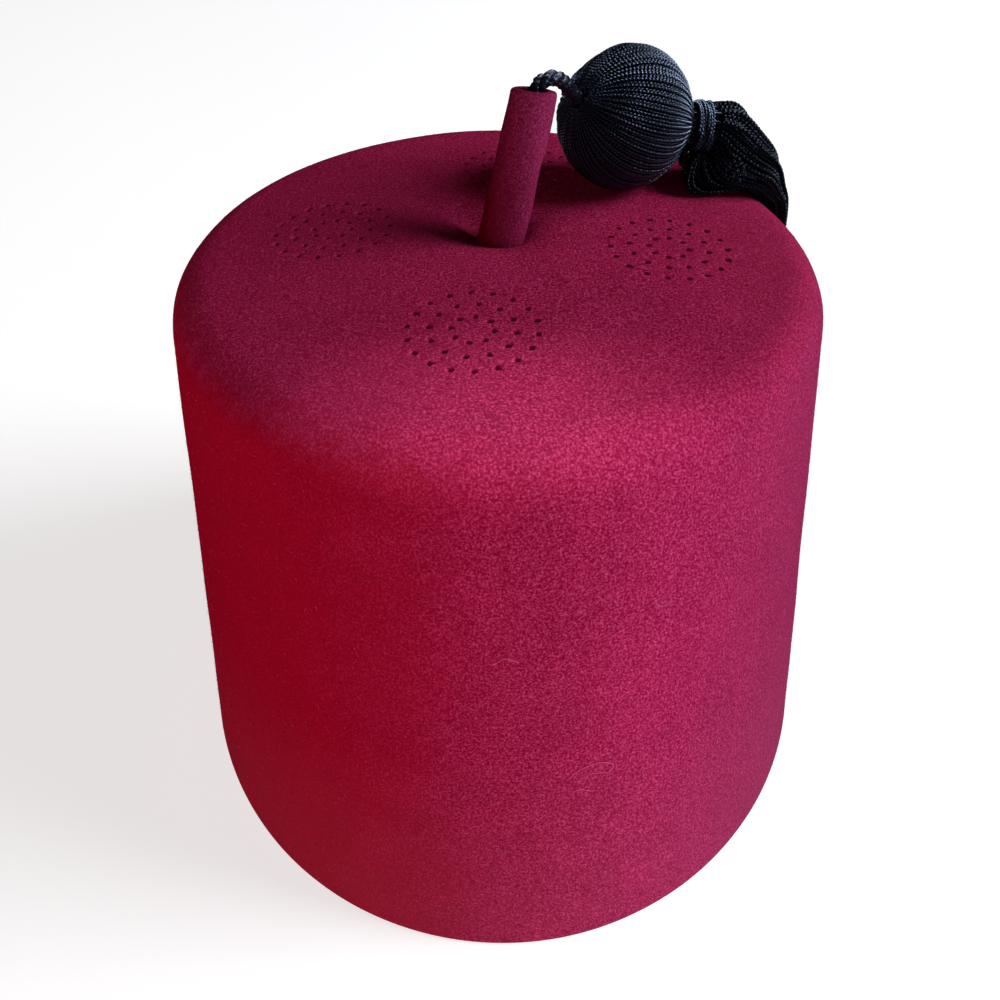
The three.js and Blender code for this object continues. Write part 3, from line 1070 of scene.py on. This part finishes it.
# %% Form of the tassel head
HEAD_X, HEAD_Y = 0.0317, 0.0283
HEAD_RADIUS = 0.0176
HEAD_HALF_LENGTH = 0.0166
HEAD_SEAT = 0.0003
HEAD_ENTRY = unit((-0.74, -0.46, 0.48))
HEAD_EXIT = unit((0.97, 0.14, -0.18))
HEAD_AXIS = unit(HEAD_EXIT - HEAD_ENTRY)
HEAD_SIDE = unit(np.cross(HEAD_AXIS, (0, 0, 1)))
HEAD_UP = np.cross(HEAD_SIDE, HEAD_AXIS)
LUMP_TURN = math.radians(140)
LUMP_HALF_TURN = 0.75
LUMP_REACH = 0.16
LUMPS = ((0.27, -0.0010), (0.72, 0.0008))


def head_middle():
    drop = math.hypot(HEAD_RADIUS * math.hypot(HEAD_AXIS[0], HEAD_AXIS[1]), HEAD_HALF_LENGTH * HEAD_AXIS[2])
    return np.array((HEAD_X, HEAD_Y, dome_height(math.hypot(HEAD_X, HEAD_Y)) + HEAD_SEAT + drop))


def head_reach(way):
    along = float(np.dot(way, HEAD_AXIS))
    across = math.sqrt(max(0.0, 1 - along * along))
    return 1 / math.hypot(along / HEAD_HALF_LENGTH, across / HEAD_RADIUS)


def head_way(turn, share):
    """Direction from the ball's middle to a thread, which bends its poles to the cord and the binding."""
    angle = math.pi * share
    way = around(angle, -HEAD_AXIS, around(turn, HEAD_SIDE, HEAD_UP))
    to_entry = math.cos(angle / 2) ** 4 * (HEAD_ENTRY + HEAD_AXIS)
    to_exit = math.sin(angle / 2) ** 4 * (HEAD_EXIT - HEAD_AXIS)
    return unit(way + to_entry + to_exit)


def head_point(turn, share, inset):
    """A point below the ball's face, which is a little flat over the cord and full over the binding."""
    way = head_way(turn, share)
    off_top = math.remainder(turn - LUMP_TURN, FULL_TURN)
    lump = 0.0
    for middle, height in LUMPS:
        lump += height * math.exp(-((off_top / LUMP_HALF_TURN) ** 2) - ((share - middle) / LUMP_REACH) ** 2)
    return HEAD_MIDDLE + way * (head_reach(way) + lump - inset)


HEAD_MIDDLE = head_middle()
print("the ball's middle is at", in_mm([HEAD_MIDDLE]), "mm")

# %% Tassel head
THREAD_RADIUS = 0.0005
HEAD_THREADS = 112
BUNDLE = 7
BUNDLE_DEPTH = 0.00035
CORE_INSET = 0.0011
SUNK_DEPTH = 0.0002
SUNK_AT_POLES = 0.0008
POLE_THICKNESS = 0.62
MORE_IN_MIDDLE = 0.36
SWAY_LOW = (0.008, 0.0, -0.0001)
SWAY_HIGH = (0.030, 6.3, 0.0002)
HEAD_SWAY = np.random.default_rng(3).uniform(SWAY_LOW, SWAY_HIGH, (HEAD_THREADS // BUNDLE, 3))


def head_strand(number):
    bundle, place_in_bundle = divmod(number, BUNDLE)
    sway, start, rise = HEAD_SWAY[bundle]
    turn = FULL_TURN * number / HEAD_THREADS
    round_off = 1 - math.sin(math.pi * (place_in_bundle + 0.5) / BUNDLE)
    sunk = number % 2
    shares = np.linspace(0.045, 0.945, 60)
    points = []
    for share in shares:
        middle = math.sin(math.pi * share)
        wander = sway * middle * math.sin(7 * share + start)
        inset = THREAD_RADIUS + sunk * (SUNK_DEPTH + SUNK_AT_POLES * (1 - middle) ** 1.5)
        inset += middle * (BUNDLE_DEPTH * round_off - rise)
        points.append(head_point(turn + wander, share, inset))
    thickness = POLE_THICKNESS + MORE_IN_MIDDLE * np.sin(np.pi * shares) ** 0.6
    return {"points": points, "tone": chances.random(), "phase": chances.random(), "thickness": thickness}


def head_core():
    turns = np.linspace(0, FULL_TURN, 48, endpoint=False)
    rings = []
    for share in np.linspace(0.01, 0.99, 30):
        rings.append(np.array([head_point(turn, share, CORE_INSET) for turn in turns]))
    return loft("head_core", rings)


strands = [head_strand(number) for number in range(HEAD_THREADS)]
half = HEAD_THREADS // 2
heads = [
    grow("tassel_head_upper", guides("upper", strands[:half]), (TWIST, {"Material": tassel_thread})),
    grow("tassel_head_lower", guides("lower", strands[half:]), (TWIST, {"Material": tassel_thread})),
]
core = place("tassel_head_core", head_core(), fringe_thread)
report(*heads, core)

# %% [markdown]
# ## Binding
# Below the ball a thread is wound round the tassel and pulled tight. It is one long helix, so
# one guide line is enough, and the same tree twists it.

# %% Binding
NECK_RADIUS = 0.0063
NECK_LENGTH = 0.0054
NECK_GAP = 0.0006
NECK_TURNS = 6


def binding_strand():
    start = HEAD_MIDDLE + HEAD_EXIT * (head_reach(HEAD_EXIT) + NECK_GAP)
    side = unit(np.cross(HEAD_EXIT, (0, 0, 1)))
    up = np.cross(side, HEAD_EXIT)
    points = []
    for share in np.linspace(0.0, 1.0, NECK_TURNS * 40):
        turn = FULL_TURN * NECK_TURNS * share
        radius = NECK_RADIUS - THREAD_RADIUS + 0.00025 * math.sin(2.3 * turn)
        along = THREAD_RADIUS + share * (NECK_LENGTH - 2 * THREAD_RADIUS)
        points.append(start + HEAD_EXIT * along + radius * around(turn, side, up))
    return {"points": points, "tone": 0.9, "phase": 0.0}


neck = grow("tassel_binding", guides("binding", [binding_strand()]), (TWIST, {"Material": tassel_thread}))
report(neck)

# %% [markdown]
# ## Cord
# A short cord of three strands leaves the stalk's bore, bends over its lip and enters the ball.
# Each strand is a helix round the cord's route, and is twisted itself by the same tree.

# %% Cord
CORD_ROUTE = (
    (0.0054, 0.0031, 0.1580),
    (0.0074, 0.0037, 0.1678),
    (0.0085, 0.0043, 0.1725),
    (0.0101, 0.0050, 0.1746),
    (0.0128, 0.0068, 0.1749),
    (0.0155, 0.0105, 0.1724),
    (0.0171, 0.0150, 0.1692),
)
CORD_RADIUS = 0.0016
CORD_STRANDS = 3
CORD_LAY = 0.0075
CORD_OFFSET = 0.46 * CORD_RADIUS
CORD_IN_HEAD = 0.0006


def cord_strands():
    end = HEAD_MIDDLE + HEAD_ENTRY * (head_reach(HEAD_ENTRY) - CORD_IN_HEAD)
    route = through([*CORD_ROUTE, end], 16)
    steps = np.linalg.norm(np.diff(route, axis=0), axis=1)
    run = np.concatenate([[0.0], np.cumsum(steps)])
    ways = np.gradient(route, axis=0)
    out = []
    for strand in range(CORD_STRANDS):
        points = []
        for middle, way, length in zip(route, ways, run):
            way = unit(way)
            side = unit(np.cross(way, (0.3, 1.0, 0.0)))
            up = np.cross(side, way)
            turn = FULL_TURN * (length / CORD_LAY + strand / CORD_STRANDS)
            points.append(middle + CORD_OFFSET * around(turn, side, up))
        out.append({"points": points, "tone": 0.4 + 0.25 * strand, "phase": strand / 3, "thickness": 2.0})
    return out, run[-1]


strands, cord_length = cord_strands()
cord_twist = {"Material": cord_thread, "Pitch": 0.0024, "Half Depth": 0.00042}
cord = grow("tassel_cord_strands", guides("cord", strands), (TWIST, cord_twist))
report(cord)
print("cord is", round(cord_length / MM), "mm long")

# %% [markdown]
# ## Fringe
# Below the binding the threads hang free: they swell out of it, bend over the shoulder and fall
# down the outside of the wall, gathered into locks with uneven ends. A few sections with named
# sizes give the bundle's form. Threads on the outside are twisted, and those inside, which only
# fill it, are plain and coarse. The binding lies low, so that some threads are pushed back under
# it before they turn over, and a few thin ones stand off in curls.

# %% Fringe sections
# Each row has the middle's x, y and z, the facing and rise in degrees, half the width and half the depth.
FRINGE_ROWS = (
    (0.0480, 0.0306, 0.1538, 9, 79, 0.0055, 0.0055),
    (0.0547, 0.0316, 0.1527, 9, 79, 0.0064, 0.0064),
    (0.0569, 0.0320, 0.1498, 12, 60, 0.0084, 0.0094),
    (0.0609, 0.0326, 0.1458, 17, 53, 0.0102, 0.0089),
    (0.0655, 0.0342, 0.1423, 22, 43, 0.0112, 0.0066),
    (0.0683, 0.0364, 0.1374, 25, 33, 0.0115, 0.0043),
    (0.0708, 0.0388, 0.1305, 27, 13, 0.0116, 0.0031),
    (0.0719, 0.0412, 0.1120, 28, 5, 0.0118, 0.0029),
    (0.0731, 0.0432, 0.0950, 28, 5, 0.0120, 0.0030),
    (0.0742, 0.0452, 0.0780, 28, 5, 0.0122, 0.0031),
    (0.0753, 0.0473, 0.0620, 28, 5, 0.0124, 0.0032),
)
FRINGE_STEPS = 9
FRINGE_LOCKS = 11
FRINGE_SQUARENESS = 2.6
LOCK_PULL = 0.07
LOCK_FLUTE = 0.1
SWING = 0.05


def squared(value):
    return math.copysign(abs(value) ** (2 / FRINGE_SQUARENESS), value)


def fringe_frames():
    """Middle, sideways way and outward way along the fringe, each way as long as the threads reach."""
    frames = []
    for *middle, facing, rise, half_width, half_depth in through(FRINGE_ROWS, FRINGE_STEPS):
        facing = math.radians(facing)
        across = np.array((-math.sin(facing), math.cos(facing), 0.0))
        outward = unit((math.cos(facing), math.sin(facing), math.tan(math.radians(rise))))
        width, depth = half_width - THREAD_RADIUS, half_depth - THREAD_RADIUS
        frames.append((np.array(middle), across * width, outward * depth))
    return frames


FRINGE_FRAMES = fringe_frames()


def fringe_strand(turn, depth, first):
    lock = math.floor(turn / FULL_TURN * FRINGE_LOCKS)
    gathered = turn + LOCK_PULL * math.sin(FRINGE_LOCKS * turn)
    flute = 1 - LOCK_FLUTE * (0.5 + 0.5 * math.cos(FRINGE_LOCKS * turn)) * depth
    swing = chances.normal(0.0, SWING)
    phase = chances.uniform(0.0, FULL_TURN)
    last = len(FRINGE_FRAMES) - int(chances.integers(0, 4)) - int(3 + 2.9 * math.sin(lock * lock)) // 2
    points = []
    for step in range(first, last):
        middle, across, outward = FRINGE_FRAMES[step]
        share = max(0, step - FRINGE_STEPS) / len(FRINGE_FRAMES)
        angle = gathered + swing * math.sin(4 * share + phase) * min(1.0, 4 * share)
        offset = across * squared(math.cos(angle)) + outward * squared(math.sin(angle))
        points.append(middle + flute * depth * offset)
    return {"points": points, "tone": chances.random(), "phase": chances.random()}


print("fringe has", len(FRINGE_FRAMES), "sections")

# %% Threads pushed back under the binding, and loose curls
PUSHED_BACK = 46
PUSHED_ROUTE = (
    (0.0522, 0.0312, 0.1492),
    (0.0502, 0.0309, 0.1475),
    (0.0486, 0.0305, 0.1446),
    (0.0486, 0.0304, 0.1412),
    (0.0515, 0.0310, 0.1396),
    (0.0570, 0.0322, 0.1392),
    (0.0635, 0.0338, 0.1392),
    (0.0683, 0.0364, 0.1355),
    (0.0708, 0.0388, 0.1300),
)
CURLS = (
    ((0.0578, 0.0222, 0.1496), (0.0591, 0.0216, 0.1470), (0.0600, 0.0213, 0.1444)),
    ((0.0593, 0.0218, 0.1490), (0.0606, 0.0214, 0.1468), (0.0612, 0.0212, 0.1448)),
    ((0.0570, 0.0224, 0.1476), (0.0584, 0.0218, 0.1456), (0.0602, 0.0214, 0.1438)),
)
CURL_TURNS = 2.5
CURL_SIZE = np.array((0.0009, -0.0006, 0.0007))
CURL_THICKNESS = 0.36


def pushed_back():
    """A thread that bulges back towards the ball, more or less, before it turns over."""
    side = chances.uniform(-1.0, 1.0)
    slack = 1.05 - 0.8 * chances.random() ** 2
    straight = np.linspace(PUSHED_ROUTE[0], PUSHED_ROUTE[-3], len(PUSHED_ROUTE) - 2)
    straight = np.vstack([straight, PUSHED_ROUTE[-2:]])
    route = []
    for share, bulged, direct in zip(np.linspace(0.0, 1.0, len(straight)), PUSHED_ROUTE, straight):
        spread_out = 0.0035 + 0.0055 * math.sin(math.pi * min(0.5, share)) - 0.006 * max(0.0, share - 0.6)
        route.append(direct + slack * (bulged - direct) + (0.0, side * spread_out, 0.0))
    return {"points": through(route, 8), "tone": chances.random(), "phase": chances.random()}


def curl(route):
    """A thin thread in a corkscrew that stands off the fringe's face."""
    points = through(route, 16)
    out = []
    for share, point in zip(np.linspace(0.0, 1.0, len(points)), points):
        turn = FULL_TURN * CURL_TURNS * share
        out.append(point + CURL_SIZE * (math.sin(turn), 1 - math.cos(turn), math.cos(turn)))
    return {"points": out, "tone": 1.0, "phase": 0.0, "thickness": CURL_THICKNESS}


print(PUSHED_BACK, "threads are pushed back and", len(CURLS), "stand off in curls")

# %% Fringe
OUTER_THREADS = 54
INNER_THREADS = 90
INNER_REACH = 0.86
GOLDEN = math.pi * (3 - math.sqrt(5))


def inner_strand(number):
    depth = INNER_REACH * math.sqrt((number + 0.5) / INNER_THREADS)
    return fringe_strand(number * GOLDEN % FULL_TURN, depth, 0)


outer_turns = [FULL_TURN * number / OUTER_THREADS for number in range(OUTER_THREADS)]
outer = [fringe_strand(turn, 1.0, FRINGE_STEPS) for turn in outer_turns]
inner = [inner_strand(number) for number in range(INNER_THREADS)]
outer += [pushed_back() for _ in range(PUSHED_BACK)]
outer += [curl(route) for route in CURLS]
outer_twist = {"Material": fringe_thread, "Step": 0.00042, "Pitch": 0.0022}
inner_twist = {"Material": fringe_thread, "Step": 0.003, "Pitch": 10.0, "Half Depth": 0.0005, "Sides": 5}
fringe = grow("tassel_fringe_outer", guides("fringe", outer), (TWIST, outer_twist))
filling = grow("tassel_fringe_inner", guides("filling", inner), (TWIST, inner_twist))
report(fringe, filling)

# %% [markdown]
# ## Lint
# A few stray hairs lie on the side of the cap, one of them in a loop. Each is given as a few
# points seen from the front, in millimetres, which are moved to the nearest place on the felt,
# so that it lies on the uneven surface. The thread's tree sweeps them too, hardly twisted and
# very thin.

# %% Lint
LINT = (
    ((14.0, 52.0), (17.5, 54.6), (22.5, 55.2), (26.0, 53.4), (24.5, 51.6), (20.0, 52.4), (16.0, 50.8)),
    ((-10.5, 50.6), (-8.4, 51.4), (-6.2, 50.2), (-5.0, 51.0)),
    ((15.2, 47.6), (17.0, 48.3), (19.6, 47.2)),
    ((-2.0, 88.0), (0.5, 89.5), (3.5, 88.6)),
    ((38.0, 98.0), (40.0, 96.4), (43.5, 96.9)),
    ((6.0, 24.0), (9.0, 25.2), (11.0, 24.4)),
)
LINT_LIFT = 0.0003
LINT_FRONT = -0.09


def lint_hair(route):
    points = []
    for x, z in through(route, 8):
        _, nearest, normal, _ = crown.closest_point_on_mesh((x * MM, LINT_FRONT, z * MM))
        points.append(np.array(nearest + LINT_LIFT * normal))
    return {"points": points, "tone": 1.0, "phase": 0.0}


lint_twist = {"Material": felt_fibre, "Step": 0.0005, "Pitch": 10.0, "Sides": 4}
lint_twist.update({"Half Width": 0.00006, "Half Depth": 0.00005})
lint = grow("lint", guides("lint", [lint_hair(route) for route in LINT]), (TWIST, lint_twist))
report(lint)

# %% [markdown]
# ## Floor and light
# The cap stands on a plain pale floor under a pale sky. A large soft light at the right does
# most of the work, as a window does. A low one in front lights the wall, and a weak reddish one
# fills the left side. The felt is dull, but the threads would mirror all of this, so the front
# and the fill are hidden from mirror rays, and a panel that only mirror rays see gives the
# threads their glints. The floor glows a little to stay pale, hardly so in mirror rays and not
# at all under the cap, where it would shine through the vents.

# %% Floor
FLOOR_HALF = 6.0


def make_floor():
    material, tree, shader = new_material("pale_floor")
    where = field(tree, "ShaderNodeTexCoord", output="Object")
    tint = blend(noise(where, 6.0, 3.0), (0.54, 0.54, 0.54, 1), (0.57, 0.57, 0.57, 1))
    mirrored = field(tree, "ShaderNodeLightPath", output="Is Glossy Ray")
    glow = blend(mirrored, (1, 1, 1, 1), (0.04, 0.04, 0.04, 1))
    under = calc_vector("DIVIDE", where, (RIM_HALF_WIDTH, RIM_HALF_LENGTH, 1.0))
    under = ramp(calc_vector("LENGTH", under), 0.99, 0.96)
    glow = blend(under, glow, (0, 0, 0, 1))
    set_shader(shader, Base_Color=tint, Emission_Color=glow, Emission_Strength=0.68)
    set_shader(shader, Roughness=0.8, Specular_IOR_Level=0.2)
    corners = [(FLOOR_HALF * x, FLOOR_HALF * y, 0.0) for x, y in ((-1, -1), (1, -1), (1, 1), (-1, 1))]
    return place("floor", mesh_of("floor", corners, [(0, 1, 2, 3)]), material)


floor = make_floor()
floor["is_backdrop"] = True
print("floor is laid")

# %% Lights
SKY_LIGHT = 0.02
SKY_SEEN = 0.85


def make_light(name, where, aim, size, power, colour):
    lamp = bpy.data.lights.new(name, "AREA")
    lamp.size = size
    lamp.energy = power
    lamp.color = colour
    light = bpy.data.objects.new(name, lamp)
    bpy.context.collection.objects.link(light)
    light.location = where
    light.rotation_mode = "QUATERNION"
    light.rotation_quaternion = (Vector((0.0, 0.0, aim)) - Vector(where)).to_track_quat("-Z", "Y")
    light.visible_camera = False
    return light


def make_sky():
    world = bpy.data.worlds.new("pale_sky")
    world.use_nodes = True
    sky = world.node_tree.nodes["Background"]
    give(sky.inputs["Color"], (1.0, 1.0, 1.0, 1))
    seen = field(world.node_tree, "ShaderNodeLightPath", output="Is Camera Ray")
    give(sky.inputs["Strength"], ramp(seen, 0.0, 1.0, SKY_LIGHT, SKY_SEEN))
    bpy.context.scene.world = world


make_light("window", (1.87, 0.0, 1.29), 0.12, 1.1, 60.0, (0.90, 0.95, 1.0))
front = make_light("front", (0.15, -1.45, 0.16), 0.12, 0.6, 11.0, (0.96, 0.97, 1.0))
fill = make_light("fill", (-1.9, -0.63, 0.50), 0.08, 0.8, 11.0, (1.0, 0.5, 0.4))
panel = make_light("panel", (0.35, 0.83, 1.25), 0.14, 1.0, 28.0, (0.80, 0.88, 1.0))
front.visible_glossy = False
fill.visible_glossy = False
panel.visible_diffuse = False
make_sky()
bpy.context.scene.view_settings.view_transform = "Standard"
print("lights are set")

# %% [markdown]
# ## Pieces on the body
# Each piece rides on the cap's only body, and the imported solid that it stands for is hidden.
# The box of the finished looks is printed.

# %% Pieces, slots and sizes
STANDS_FOR = (
    (crown, "crown", "felt"),
    (stalk, "stalk", "felt"),
    (cord, "tassel_cord", "tassel_thread"),
    (heads[0], "tassel_head", "tassel_thread"),
    (neck, "tassel_neck", "tassel_thread"),
    (fringe, "tassel_fringe", "tassel_thread"),
)
ALSO = [(piece, "felt") for piece in (*naps, lint)]
ALSO += [(piece, "tassel_thread") for piece in (heads[1], core, filling)]
for piece, node, slot in STANDS_FOR:
    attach(piece, "root")
    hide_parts(node)
for piece, slot in ALSO:
    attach(piece, "root")

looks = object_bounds()
print("looks:", in_mm(looks), "mm;", sum(triangles(row[0]) for row in (*STANDS_FOR, *ALSO)), "triangles")
